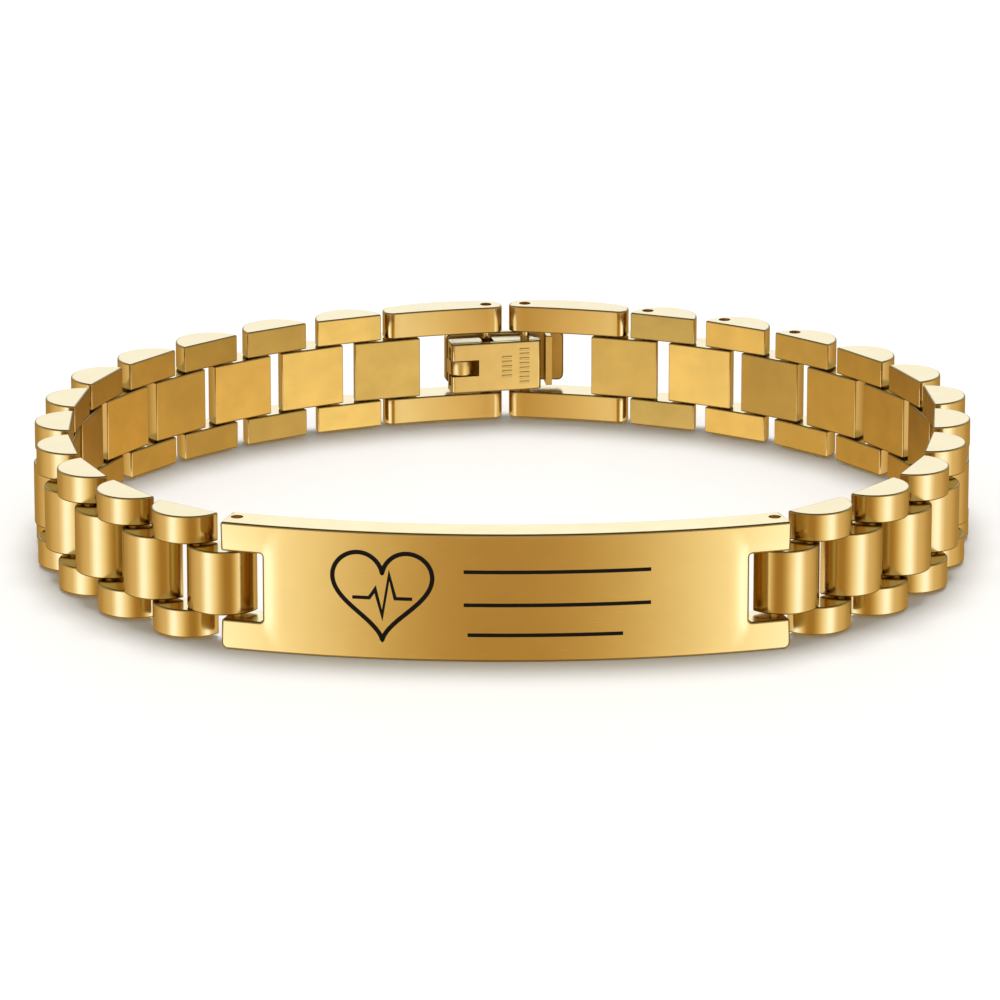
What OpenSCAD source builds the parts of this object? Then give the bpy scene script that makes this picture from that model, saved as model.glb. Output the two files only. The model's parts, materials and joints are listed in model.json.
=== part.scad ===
// Watch band bracelet: a closed loop of half-round links with a name plate in front
// and a folding leaf clasp at the back. It stands on its lower edge, wrist hole upright.
// Seen from above, the plate faces -Y, the clasp is at +Y, and Z = 0 is the plate's lower edge.

/* [Band] */
// Height of the links, from their lower to their upper edge
band_h = 10; // [8:0.5:12]
// Height of each of the two bars of an outer link
outer_h = 2.3; // [1.8:0.1:2.6]
// Length of a short link along the band
link_len = 5.9; // [5.6:0.1:6.2]
// Radius of the small corners beside a link's flat inner face
corner_r = 0.1; // [0.05:0.05:0.3]
// Distance between the two pins of a short link
pin_gap = 3.6; // [3.5:0.05:3.8]
// Depth of the pins behind the flat inner face of the links
pin_depth = 1.25; // [1.1:0.05:1.4]
// Radius of the link pins
pin_r = 0.4; // [0.3:0.05:0.5]
// Radius of the blind holes above the pins that can be taken out
hole_r = 0.5; // [0.4:0.05:0.55]
// Depth of those holes
hole_depth = 0.5; // [0.3:0.1:1]
// Radial clearance of a pin in the link that turns on it
pin_play = 0.05; // [0.03:0.01:0.1]
// Gap above and below each centre link
layer_gap = 0.1; // [0.05:0.05:0.2]

/* [Name plate] */
// Distance between the two pins of the name plate
plate_pins = 42.2; // [41:0.1:43]
// How far the plate reaches past each of its pins
plate_end = 0.8; // [0.7:0.05:0.9]
// How far the plate stands above the links, and below them
plate_over = 0.2; // [0:0.05:0.3]
// Thickness of the plate
plate_t = 3; // [2.8:0.1:3.2]
// Radius of the plate's curved outer face
plate_r = 72.5; // [65:0.5:80]
// Depth of the notch that takes the first centre link
notch_d = 3.4; // [3.2:0.05:3.6]
// Height of that notch
notch_h = 5.6; // [5.4:0.05:5.8]
// Radius of the plate's upper corners
upper_corner = 0.2; // [0.1:0.05:0.5]
// Radius of the plate's lower corners
lower_corner = 0.55; // [0.2:0.05:0.8]
// Radius of the notch's inner corners
notch_corner = 0.25; // [0.1:0.05:0.4]

/* [Long links] */
// Distance between the two pins of a long link
long_pins = 7.35; // [7:0.05:7.8]
// How far a long link reaches past its clasp pin
long_end = 1.3; // [1.1:0.05:1.3]
// How far it reaches past its other pin
long_start = 1.85; // [1.2:0.05:1.85]
// Radius of the long links' outer face
long_r = 14; // [10:1:30]
// Radius of the rounded ends of the long links
long_round = 1.3; // [1:0.1:1.5]
// Radius of the soft corners beside the long links' flat inner face
long_corner = 0.8; // [0.1:0.05:0.9]

/* [Clasp] */
// Distance between the two clasp pins, measured along the name plate
clasp_pins = 3.4; // [3.4:0.05:3.8]
// Height of the clasp leaf and of the clasp cover
clasp_h = 4.4; // [4:0.1:4.6]
// How far the leaf hangs below the band's middle height
leaf_drop = 0.25; // [0:0.05:0.3]
// How far the leaf reaches to the left of its hinge pin
leaf_left = 6.75; // [6.2:0.05:7]
// How far the leaf reaches to the right of its hinge pin
leaf_right = 1.2; // [1:0.05:1.25]
// Distance of the leaf's inner face from its hinge pin
leaf_face = 1.3; // [1.25:0.05:1.4]
// Thickness of the leaf's sheet
sheet_t = 0.5; // [0.4:0.05:0.5]
// Angle between the closed leaf and the line through the clasp pins
leaf_tilt = 6.5; // [4:0.5:8]
// Length of the clasp cover
cover_len = 10.5; // [9:0.1:11]
// Distance of the cover's inner face from the hinge pin
cover_in = 1; // [0.95:0.05:1.2]
// Thickness of the clasp cover
cover_t = 0.8; // [0.6:0.05:1]
// Radius of the clasp cover's outer face
cover_r = 36; // [25:1:60]

/* [Hidden] */
$fn = 64;

// How the band bends, from the plate to the clasp: one row for each stretch, with the
// number of hinges in it and the turn at each hinge in degrees, on the left and on the right.
HINGES = 0;
LEFT = 1;
RIGHT = 2;
bends = [
    [1, 26.3, 38.4],
    [2, 11.3, 3.95],
    [2, 5.45, 6.3],
    [2, 6.4, 8.7],
    [2, 6.75, 3.9],
    [2, 3.75, 2.2],
    [2, 4.95, 7.8],
    [2, 9.55, 8.8],
    [9, 4.9, 5.2]
];

// A link of number i joins pin i - 1 to pin i. Odd ones are centre links, even ones are
// outer links, and the last is the long link. Side is -1 on the left and 1 on the right.
last = 24;
centre_links = last / 2;
outer_links = last / 2 - 1;
function turn_column(side) = side < 0 ? LEFT : RIGHT;
function turns(side) = [for (row = bends) for (k = [1:row[HINGES]]) row[turn_column(side)]];
function total(list, count) = count <= 0 ? 0 : list[count - 1] + total(list, count - 1);
function link_heading(side, i, ease) = total(turns(side), i) + i * ease;
function span(i) = i == last ? long_pins : pin_gap;

// The plate's pins lie as deep behind its inner face as the links' pins do.
plate_inner_r = plate_r - plate_t;
plate_pin_r = plate_inner_r + pin_depth;
plate_half = asin(plate_pins / 2 / plate_pin_r);
plate_back = plate_pin_r * cos(plate_half);
function walk(side, i, ease) = i == 0
    ? [side * plate_pins / 2, -plate_back]
    : walk(side, i - 1, ease)
        + span(i) * [side * cos(link_heading(side, i, ease)), sin(link_heading(side, i, ease))];

// The same small ease is added to every turn of a side, so that the loop closes at the clasp.
function miss(side, ease) = side * walk(side, last, ease)[0] - clasp_pins / 2;
function ease_of(side, low, high, steps) = steps == 0
    ? (low + high) / 2
    : miss(side, (low + high) / 2) > 0
        ? ease_of(side, (low + high) / 2, high, steps - 1)
        : ease_of(side, low, (low + high) / 2, steps - 1);
ease_left = ease_of(-1, -3, 3, 24);
ease_right = ease_of(1, -3, 3, 24);
function ease(side) = side < 0 ? ease_left : ease_right;
pins_left = [for (i = [0:last]) walk(-1, i, ease_left)];
pins_right = [for (i = [0:last]) walk(1, i, ease_right)];
function pin(side, i) = side < 0 ? pins_left[i] : pins_right[i];
function middle(side, i) = (pin(side, i - 1) + pin(side, i)) / 2;
function facing(side, i) = 180 + side * link_heading(side, i, ease(side));

// The outer faces of the links and the plate give the box that the origin is centred in.
dome_r = link_len / 2;
dome_y = corner_r - pin_depth;
function dome_centre(side, i) = middle(side, i)
    + dome_y * [-sin(facing(side, i)), cos(facing(side, i))];
right_edge = max([for (i = [1:last - 1]) dome_centre(1, i)[0] + dome_r]);
left_edge = min([for (i = [1:last - 1]) dome_centre(-1, i)[0] - dome_r]);
clasp_turn = atan2(pin(1, last)[1] - pin(-1, last)[1], pin(1, last)[0] - pin(-1, last)[0]);
clasp_mid = (pin(1, last) + pin(-1, last)) / 2;
pins_apart = norm(pin(1, last) - pin(-1, last));
rear_edge = clasp_mid[1] + (cover_in + cover_t - cover_r) * cos(clasp_turn) + cover_r;
front_edge = -plate_r;
origin = [(left_edge + right_edge) / 2, (front_edge + rear_edge) / 2];

plate_h = band_h + 2 * plate_over;
centre_h = band_h - 2 * (outer_h + layer_gap);
bore_r = pin_r + pin_play;
// How far a cut runs past the face that it starts in
cut = 1;
gold = [0.84, 0.66, 0.32];
pale_gold = [0.90, 0.74, 0.42];
deep_gold = [0.76, 0.57, 0.25];

function two(k) = str(k < 10 ? "0" : "", k);
function names(side) = [
    for (k = [1:centre_links]) str(side, "_centre_", two(k)),
    for (k = [1:outer_links]) str(side, "_outer_", two(k)),
    str(side, "_long")
];

// Points of an arc about a centre, from one angle to another
function arc(centre, r, from, to, steps = 12) = [
    for (k = [0:steps]) centre + r * [cos(from + (to - from) * k / steps), sin(from + (to - from) * k / steps)]
];

// Outline of a rectangle centred on the origin, with round upper and lower corners
function soft_box(w, h, upper, lower) = concat(
    arc([w / 2 - upper, h / 2 - upper], upper, 0, 90),
    arc([upper - w / 2, h / 2 - upper], upper, 90, 180),
    arc([lower - w / 2, lower - h / 2], lower, 180, 270),
    arc([w / 2 - lower, lower - h / 2], lower, 270, 360)
);

// Section of a short link seen from above: flat inner face, half-round outer face
module dee() {
    translate([0, dome_y]) {
        intersection() {
            circle(r = dome_r);
            translate([-dome_r, 0])
                square([link_len, dome_r]);
        }
        polygon(concat(
            arc([corner_r - dome_r, 0], corner_r, 180, 270, 6),
            arc([dome_r - corner_r, 0], corner_r, 270, 360, 6)
        ));
    }
}

// Section of a long link seen from above, with its clasp end at the given end of X
long_len = long_start + long_pins + long_end;
module long_dee(clasp_dir) {
    hub = [0, corner_r + dome_r - pin_depth - long_r];
    reach = long_len / 2 - long_round;
    swing = asin(reach / (long_r - long_round));
    end_y = hub[1] + (long_r - long_round) * cos(swing);
    translate([clasp_dir * (long_end - long_start) / 2, 0])
        polygon(concat(
            arc([long_corner - long_len / 2, long_corner - pin_depth], long_corner, 180, 270, 6),
            arc([long_len / 2 - long_corner, long_corner - pin_depth], long_corner, 270, 360, 6),
            arc([reach, end_y], long_round, 0, 90 - swing),
            arc(hub, long_r, 90 - swing, 90 + swing, 16),
            arc([-reach, end_y], long_round, 90 + swing, 180)
        ));
}

// Puts a link on its two pins, with its outer face away from the wrist
module place(side, i) {
    spot = middle(side, i) - origin;
    translate([spot[0], spot[1], plate_over])
        rotate(facing(side, i))
            children();
}

// Upright pin between the two bars of an outer link, its ends sunk in both
module link_pin(x) {
    translate([x, 0, outer_h / 2])
        cylinder(r = pin_r, h = band_h - outer_h);
}

// Blind hole above a pin, in an upper edge of the given height
module pin_hole(x, top) {
    translate([x, 0, top - hole_depth])
        cylinder(r = hole_r, h = hole_depth + cut);
}

module both_bars() {
    linear_extrude(outer_h)
        children();
    translate([0, 0, band_h - outer_h])
        linear_extrude(outer_h)
            children();
}

// Outer link: an upper and a lower bar held on two pins
holed_links = 3;
module outer_link(side, k) {
    i = 2 * k;
    color(gold)
        place(side, i)
            difference() {
                union() {
                    both_bars()
                        dee();
                    link_pin(-pin_gap / 2);
                    link_pin(pin_gap / 2);
                }
                if (side > 0 && k > outer_links - holed_links)
                    pin_hole(-pin_gap / 2, band_h);
            }
}

// Centre link: one bar that turns on the pins of its two neighbours
module centre_link(side, k) {
    color(pale_gold)
        place(side, 2 * k - 1)
            translate([0, 0, outer_h + layer_gap])
                difference() {
                    linear_extrude(centre_h)
                        dee();
                    for (x = [-pin_gap / 2, pin_gap / 2])
                        translate([x, 0, -cut])
                            cylinder(r = bore_r, h = centre_h + 2 * cut);
                }
}

// Long link beside the clasp, with the clasp pin at one end
module long_link(side) {
    clasp_dir = -side;
    color(gold)
        place(side, last)
            difference() {
                union() {
                    both_bars()
                        long_dee(clasp_dir);
                    link_pin(-long_pins / 2);
                    link_pin(long_pins / 2);
                }
                pin_hole(clasp_dir * long_pins / 2, band_h);
            }
}

// Prism through the plate at one of its ends: X runs along the plate, with 0 at the end face
end_turn = plate_half + plate_end / plate_pin_r * 180 / PI;
module at_end(side) {
    translate([0, 0, plate_h / 2])
        rotate(side * end_turn)
            rotate([90, 0, 0])
                linear_extrude(plate_r + cut)
                    children();
}

// Name plate: a slab bent to the wrist, notched at both ends for the first centre links.
// Each end is square to the face, and the two end prisms together trim the slab.
module name_plate() {
    color(pale_gold)
        translate([-origin[0], -origin[1], 0])
            difference() {
                union() {
                    difference() {
                        intersection() {
                            difference() {
                                cylinder(r = plate_r, h = plate_h, $fn = 180);
                                translate([0, 0, -cut])
                                    cylinder(r = plate_inner_r, h = plate_h + 2 * cut, $fn = 180);
                            }
                            at_end(-1)
                                translate([plate_r / 2, 0])
                                    polygon(soft_box(plate_r, plate_h, upper_corner, lower_corner));
                            at_end(1)
                                translate([-plate_r / 2, 0])
                                    polygon(soft_box(plate_r, plate_h, upper_corner, lower_corner));
                        }
                        for (side = [-1, 1])
                            at_end(side)
                                polygon(soft_box(2 * notch_d, notch_h, notch_corner, notch_corner));
                    }
                    for (side = [-1, 1])
                        translate([side * plate_pins / 2, -plate_back, plate_over])
                            link_pin(0);
                }
                for (side = [-1, 1])
                    translate([side * plate_pins / 2, -plate_back, 0])
                        pin_hole(0, plate_h);
            }
}

// Puts a clasp piece on the hinge pin, with X along the clasp and Y away from the wrist
module at_hinge() {
    spot = pin(1, last) - origin;
    translate([spot[0], spot[1], plate_over])
        rotate(clasp_turn)
            children();
}

clasp_low = (band_h - clasp_h) / 2;
leaf_low = clasp_low - leaf_drop;
knuckle_r = 0.7;
knuckle_gap = 0.15;
rib_x = 1.75;
rib_t = 0.55;
rib_in = 0.85;
cover_corner = 0.5;

// Cover: curved outer plate with a knuckle on the hinge pin and a stiffening rib beside it
module clasp_cover() {
    half = asin(cover_len / 2 / cover_r);
    hub = [-pins_apart / 2, cover_in + cover_t - cover_r];
    knuckle_low = leaf_low + sheet_t + knuckle_gap;
    knuckle_h = clasp_h - 2 * (sheet_t + knuckle_gap);
    color(deep_gold)
        at_hinge()
            difference() {
                union() {
                    intersection() {
                        linear_extrude(band_h)
                            polygon(concat(
                                arc(hub, cover_r, 90 + half, 90 - half, 24),
                                arc(hub, cover_r - cover_t, 90 - half, 90 + half, 24)
                            ));
                        translate([hub[0], 0, band_h / 2])
                            rotate([90, 0, 0])
                                linear_extrude(2 * cover_len, center = true)
                                    polygon(soft_box(cover_len, clasp_h, cover_corner, cover_corner));
                    }
                    translate([-knuckle_r, 0, knuckle_low])
                        cube([2 * knuckle_r, cover_in + cover_t / 2, knuckle_h]);
                    translate([0, 0, knuckle_low])
                        cylinder(r = knuckle_r, h = knuckle_h);
                    translate([rib_x, -rib_in, clasp_low])
                        cube([rib_t, rib_in + cover_in + cover_t / 2, clasp_h]);
                }
                cylinder(r = bore_r, h = band_h);
            }
}

// Sizes of the leaf's flanges, window, tongue, hook slots and grip ribs
leaf_round = 0.3;
flange_out = 0.8;
flange_corner = 0.4;
flange_slant = 0.5;
window_h = 1.44;
window_len = 2.4;
tongue_h = 1.28;
tongue_t = 0.35;
tongue_r = 1.1;
tongue_x = 1 - leaf_left;
tongue_y = -0.15;
slot_w = 1;
slot_mouth = 1.55;
grip_w = 0.85;
grip_t = 0.2;
grip_out = 0.08;
grip_step = 0.42;
// One row for each column of grip ribs: its place along the leaf and the number of ribs
RIB_X = 0;
RIB_COUNT = 1;
grip_columns = [[-1.85, 5], [-0.3, 8]];
// Outer side of the leaf's sheet, and the leaf's middle height
sheet_y = sheet_t - leaf_face;
leaf_mid = leaf_low + clasp_h / 2;
module leaf_flange() {
    hook = pins_apart * [-cos(leaf_tilt), sin(leaf_tilt)];
    difference() {
        polygon(concat(
            [[-leaf_left, sheet_y], [leaf_right, sheet_y], [leaf_right, -flange_slant]],
            arc([0, 0], flange_out, -10, 90, 8),
            arc([flange_corner - leaf_left, flange_out - flange_corner], flange_corner, 90, 180, 6)
        ));
        polygon([
            [hook[0] - slot_w / 2, sheet_y],
            [hook[0] + slot_w / 2, sheet_y],
            [hook[0] + slot_w / 2, hook[1]],
            [hook[0] + slot_mouth / 2, flange_out + cut],
            [hook[0] - slot_mouth / 2, flange_out + cut],
            [hook[0] - slot_w / 2, hook[1]]
        ]);
    }
}

// Leaf: a folded sheet with a flange above and below, a window and a curled tongue.
// Two columns of short ribs give the thumb a grip.
module clasp_leaf() {
    color(deep_gold)
        at_hinge()
            rotate(leaf_tilt)
                difference() {
                    union() {
                        difference() {
                            translate([0, 0, leaf_low])
                                linear_extrude(clasp_h)
                                    polygon(concat(
                                        [[-leaf_left, sheet_y], [-leaf_left, leaf_round - leaf_face]],
                                        arc([leaf_round - leaf_left, leaf_round - leaf_face], leaf_round, 180, 270, 6),
                                        arc([leaf_right - leaf_round, leaf_round - leaf_face], leaf_round, 270, 360, 6),
                                        [[leaf_right, sheet_y]]
                                    ));
                            translate([-leaf_left - cut, -leaf_face - cut, leaf_mid - window_h / 2])
                                cube([window_len + cut, sheet_t + 2 * cut, window_h]);
                        }
                        for (z = [leaf_low, leaf_low + clasp_h - sheet_t])
                            translate([0, 0, z])
                                linear_extrude(sheet_t)
                                    leaf_flange();
                        translate([-leaf_left, 0, leaf_low])
                            cube([sheet_t, flange_out - flange_corner, clasp_h]);
                        translate([0, 0, leaf_mid - tongue_h / 2])
                            linear_extrude(tongue_h)
                                polygon(concat(
                                    [[tongue_x - tongue_r, flange_out - flange_corner]],
                                    arc([tongue_x, tongue_y], tongue_r, 180, 345),
                                    arc([tongue_x, tongue_y], tongue_r - tongue_t, 345, 180),
                                    [[tongue_x - tongue_r + tongue_t, flange_out - flange_corner]]
                                ));
                        for (ribs = grip_columns)
                            for (k = [0:ribs[RIB_COUNT] - 1])
                                translate([
                                    ribs[RIB_X] - grip_w / 2,
                                    -leaf_face - grip_out,
                                    leaf_mid + (k - (ribs[RIB_COUNT] - 1) / 2) * grip_step - grip_t / 2
                                ])
                                    cube([grip_w, grip_out + sheet_t / 2, grip_t]);
                    }
                    cylinder(r = bore_r, h = band_h);
                }
}

for (k = [1:centre_links]) {
    centre_link(-1, k);
    centre_link(1, k);
}
for (k = [1:outer_links]) {
    outer_link(-1, k);
    outer_link(1, k);
}
long_link(-1);  // left_long
long_link(1);  // right_long
name_plate();
clasp_cover();
clasp_leaf();
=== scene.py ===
import json
import math

import bmesh
import bpy
import numpy as np
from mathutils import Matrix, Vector


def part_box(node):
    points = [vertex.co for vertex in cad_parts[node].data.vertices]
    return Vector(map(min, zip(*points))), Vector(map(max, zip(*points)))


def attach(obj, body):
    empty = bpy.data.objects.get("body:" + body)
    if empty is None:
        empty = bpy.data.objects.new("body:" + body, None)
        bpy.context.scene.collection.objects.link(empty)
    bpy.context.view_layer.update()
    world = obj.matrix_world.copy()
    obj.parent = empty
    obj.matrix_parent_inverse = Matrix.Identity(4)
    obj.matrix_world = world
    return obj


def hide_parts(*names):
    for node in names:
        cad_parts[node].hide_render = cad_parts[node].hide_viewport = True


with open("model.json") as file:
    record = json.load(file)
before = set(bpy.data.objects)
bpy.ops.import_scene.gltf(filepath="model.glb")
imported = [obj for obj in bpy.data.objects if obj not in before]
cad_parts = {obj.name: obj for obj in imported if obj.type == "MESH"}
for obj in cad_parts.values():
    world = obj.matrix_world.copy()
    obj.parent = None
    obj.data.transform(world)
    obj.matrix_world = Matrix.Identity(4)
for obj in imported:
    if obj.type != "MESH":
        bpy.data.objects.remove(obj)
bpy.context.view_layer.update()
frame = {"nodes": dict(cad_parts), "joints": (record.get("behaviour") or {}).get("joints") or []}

# Camera. The photograph looks straight at the name plate from about 17 degrees above,
# through a long lens some 60 cm away, and its frame is square.
mm = 0.001
CAMERA_PITCH = math.radians(16.5621)
CAMERA_AWAY = 600 * mm
CAMERA_AIM = Vector((-0.3069, -9.0004, 5.2)) * mm
CAMERA_NEAR = 10 * mm
# Width of the film and length of the lens, in the camera's own millimetres
CAMERA_FILM = 36
CAMERA_LENS = 264.78


def placed(name, data):
    """A new object for a mesh, a camera or a light, linked to the scene."""
    piece = bpy.data.objects.new(name, data)
    bpy.context.scene.collection.objects.link(piece)
    return piece


camera_data = bpy.data.cameras.new("photo_camera")
camera_data.sensor_width = CAMERA_FILM
camera_data.lens = CAMERA_LENS
camera_data.clip_start = CAMERA_NEAR
camera = placed("photo_camera", camera_data)
camera.location = CAMERA_AIM + CAMERA_AWAY * Vector((0, -math.cos(CAMERA_PITCH), math.sin(CAMERA_PITCH)))
camera.rotation_euler = (math.pi / 2 - CAMERA_PITCH, 0, 0)
bpy.context.scene.camera = camera

# Name plate. A thick steel bar bent to the wrist and plated in gold, with a notch at each end
# for the first centre link. Its face is polished to a faint satin and its rims are broken with
# a small round. Two upright pins cross the notches, and a blind hole lies above each.
PLATE_BEND = 72.5 * mm
PLATE_THICK = 3 * mm
PLATE_END = 0.8 * mm
PLATE_RIM = 0.17 * mm
UPPER_CORNER = 0.2 * mm
LOWER_CORNER = 0.55 * mm
NOTCH_DEEP = 3.4 * mm
NOTCH_HIGH = 5.6 * mm
NOTCH_CORNER = 0.25 * mm
NOTCH_LIP = 0.2 * mm
# How far past the notch the lines that rule its wall fan out along the plate's edge
NOTCH_FAN = 1.3 * mm
# How far buffing lowers the face beside the notch, and the distance over which that fades
BUFF_SAG = 0.13 * mm
BUFF_REACH = 0.75 * mm
PIN_DEEP = 1.25 * mm
PIN_RADIUS = 0.4 * mm
HOLE_RADIUS = 0.5 * mm
HOLE_DEEP = 0.5 * mm
# How far a pin runs into the steel, and a cut past it
OVERSHOOT = 1 * mm
# Shares of the way up a slab's face, from its low to its high path, where points lie
FACE_SHARES = (0, 0.03, 0.08, 0.14, 0.22, 0.32, 0.46, 0.66, 0.96, 1)
# Points nearer than this are one point, and edges shorter than this are none
SAME_POINT = 0.0005 * mm
NO_EDGE = 0.0002 * mm
ON_MIDDLE_LINE = 1e-9


def straight(start, end, normal, count, closer=1):
    """Rows of place and outward normal along a straight line, evenly spaced, or closer towards its end."""
    share = 1 - (1 - np.linspace(0, 1, count)[:, None]) ** closer
    spots = (1 - share) * np.array(start) + share * np.array(end)
    return np.hstack([spots, np.tile(normal, (count, 1))])


def rounded(centre, radius, first, final, count, hollow=1):
    """Rows of place and outward normal, evenly spaced along an arc given in degrees.
    Hollow is -1 where the material lies outside the arc."""
    turn = np.radians(np.linspace(first, final, count))
    way = np.stack([np.cos(turn), np.sin(turn)], axis=1)
    return np.hstack([np.array(centre) + radius * way, hollow * way])


def slab_quarter(low, high, thick, rim, steps=3):
    """Upper half of one end of a slab, ruled between a low and a high path on its face.
    A point is (1 - mix) * low + mix * high, each path moved inwards by the inset, at a depth
    behind the face. Mix, inset and depth go once round the slab's section: up the face, over
    the rounded upper rim, down the back and over the rounded lower rim."""
    turn = np.linspace(0, math.pi / 2, steps + 1)
    up = np.array(FACE_SHARES)
    flat = np.full(len(up), rim)
    front_inset = rim * (1 - np.sin(turn))
    front_depth = rim * (1 - np.cos(turn))
    mix = np.concatenate([up, np.ones(2 * steps), up[::-1], np.zeros(2 * steps)])
    over = np.concatenate([front_inset[1:], front_inset[::-1][:-1]])
    inset = np.concatenate([flat, over, flat, over])
    down = np.concatenate([front_depth[1:], thick - front_depth[::-1][:-1]])
    depth = np.concatenate([0 * up, down, 0 * up + thick, down[::-1]])
    spots = [path[:, None, :2] - inset[None, :, None] * path[:, None, 2:] for path in (low, high)]
    face = (1 - mix)[None, :, None] * spots[0] + mix[None, :, None] * spots[1]
    return np.dstack([face, np.broadcast_to(depth, face.shape[:2])])


def grid_faces(columns, rows):
    """Four corners of each cell of a grid that is open along its columns and closed round its rows."""
    first = np.arange(columns - 1)[:, None] * rows
    row = np.arange(rows)[None, :]
    after = (row + 1) % rows
    cells = [first + row, first + rows + row, first + rows + after, first + after]
    return np.stack(cells, axis=-1).reshape(-1, 4)


def bend(points, radius, end_turn, still):
    """Bends a flat slab round an upright axis through the origin. The first number of a point is
    its distance past the slab's end face, and its radius is the bend radius less its depth.
    Within the length called still the depth direction is square to the end, as a milled notch is,
    and it turns evenly from there until it points at the axis in the middle of the slab."""
    inwards = -points[..., 0]
    reach = radius - points[..., 2]
    middle = radius * math.sin(end_turn)
    ease = np.clip((inwards - still) / (middle - still), 0, 1)
    inwards = inwards * (1 - ease + ease * reach / radius)
    back = np.sqrt(reach ** 2 - inwards ** 2)
    cos, sin = math.cos(end_turn), math.sin(end_turn)
    return np.stack([back * sin - inwards * cos, -back * cos - inwards * sin, points[..., 1]], axis=-1)


def marked(name, points, faces, rims):
    """A mesh from its points and faces, with a mark on the faces that round off its rims."""
    mesh = bpy.data.meshes.new(name)
    mesh.from_pydata(points.tolist(), [], faces)
    mesh.attributes.new("rim", "INT", "FACE").data.foreach_set("value", np.array(rims, np.int32))
    return mesh


def closed_mesh(name, points, faces, rims):
    """A marked mesh with its doubles merged, its empty faces dropped and its normals outwards."""
    mesh = marked(name, points, faces.tolist(), rims)
    work = bmesh.new()
    work.from_mesh(mesh)
    bmesh.ops.remove_doubles(work, verts=work.verts, dist=SAME_POINT)
    bmesh.ops.dissolve_degenerate(work, edges=work.edges, dist=NO_EDGE)
    bmesh.ops.recalc_face_normals(work, faces=work.faces)
    work.to_mesh(mesh)
    work.free()
    return mesh


def buffed(flat, thick):
    """Lowers the face round the notch, as a soft buffing wheel does: by a sag that fades with the
    distance from the notch, as e to the power of minus the square of that distance over the reach,
    and with the depth behind the face, to nothing half way through the plate."""
    past = np.maximum(-NOTCH_DEEP - flat[..., 0], 0)
    above = np.maximum(flat[..., 1] - NOTCH_HIGH / 2, 0)
    sag = BUFF_SAG * np.exp(-(past ** 2 + above ** 2) / BUFF_REACH ** 2)
    return np.dstack([flat[..., :2], flat[..., 2] + sag * np.clip(1 - 2 * flat[..., 2] / thick, 0, 1)])


def slab(name, quarters, radius, end_turn, still, thick, rim, work=None):
    """A bent slab from the paths of its upper and lower quarter, mirrored to its other end. Cells
    whose depth lies within the rim of the face or the back, and not flat on them, are its rims."""
    points, faces, rims, used = [], [], [], 0
    for flip, (low, high) in quarters:
        flat = slab_quarter(low, high, thick, rim)
        depth = flat[..., 2].reshape(-1)
        if work:
            flat = work(flat, thick)
        cells = grid_faces(flat.shape[0], flat.shape[1])
        height = np.abs(flat[..., 1].reshape(-1)[cells])
        cells = cells[height.max(axis=1) > ON_MIDDLE_LINE]
        depths = depth[cells]
        middle = depths.mean(axis=1)
        front_rim = (depths.max(axis=1) > 0) & (middle < rim)
        back_rim = (depths.min(axis=1) < thick) & (middle > thick - rim)
        for side in (-1, 1):
            bent = bend(flat, radius, end_turn, still) * np.array([side, 1, flip])
            points.append(bent.reshape(-1, 3))
            faces.append(cells + used)
            rims.append(front_rim | back_rim)
            used += len(points[-1])
    return closed_mesh(name, np.vstack(points), np.vstack(faces), np.hstack(rims))


def notched_quarter(half_long, high, corner):
    """Low and high path of one quarter of the plate. The low one runs along the middle line, up the
    notch and out along its side, and the high one along the edge, round the corner and down the end.
    The lines ruled between them lean away from the notch into the plate, so that none crosses it."""
    notch = NOTCH_HIGH / 2
    inner = NOTCH_DEEP - NOTCH_CORNER
    fan = -NOTCH_DEEP - NOTCH_FAN
    # Number of points on each stretch of the paths
    body, wall, curve, side, turn, lip = 49, 9, 7, 6, 7, 4
    low_path = np.vstack([
        straight((-half_long, 0), (-NOTCH_DEEP - PLATE_RIM, 0), (0, 0), body, closer=2),
        straight((-NOTCH_DEEP, 0), (-NOTCH_DEEP, notch - NOTCH_CORNER), (1, 0), wall),
        rounded((-inner, notch - NOTCH_CORNER), NOTCH_CORNER, 180, 90, curve, hollow=-1),
        straight((-inner, notch), (-NOTCH_LIP, notch), (0, -1), side),
        rounded((-NOTCH_LIP, notch + NOTCH_LIP), NOTCH_LIP, -90, -45, turn + lip),
    ])
    high_path = np.vstack([
        straight((-half_long, high), (fan, high), (0, 1), body, closer=2),
        straight((fan, high), (-NOTCH_DEEP - NOTCH_CORNER, high), (0, 1), wall),
        straight((-NOTCH_DEEP - NOTCH_CORNER, high), (-inner, high), (0, 1), curve),
        straight((-inner, high), (-corner, high), (0, 1), side),
        rounded((-corner, high - corner), corner, 90, 0, turn),
        rounded((-NOTCH_LIP, notch + NOTCH_LIP), NOTCH_LIP, 0, -45, lip),
    ])
    return low_path, high_path


def prism(name, outline, levels):
    """Closed solid: an anticlockwise outline carried upwards. Each level is an inset and a height,
    and the outline is moved inwards by the inset along the mitre of the edges beside each point.
    The faces between two levels of different inset are its rims."""
    edge = np.roll(outline, -1, axis=0) - outline
    out = np.stack([edge[:, 1], -edge[:, 0]], axis=1)
    out = out / np.linalg.norm(out, axis=1, keepdims=True)
    beside = np.roll(out, 1, axis=0)
    mitre = (out + beside) / (1 + np.sum(out * beside, axis=1, keepdims=True))
    inset, height = np.array(levels).T
    flat = outline[None] - inset[:, None, None] * mitre[None]
    upright = np.broadcast_to(height[:, None, None], flat.shape[:2] + (1,))
    points = np.concatenate([flat, upright], axis=2).reshape(-1, 3)
    count = len(outline)
    faces = grid_faces(len(levels), count)[:, ::-1].tolist()
    faces.append(list(range(count))[::-1])
    faces.append(list(range(len(points) - count, len(points))))
    rims = np.repeat(inset[1:] != inset[:-1], count)
    return marked(name, points, faces, [*rims, False, False])


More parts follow.
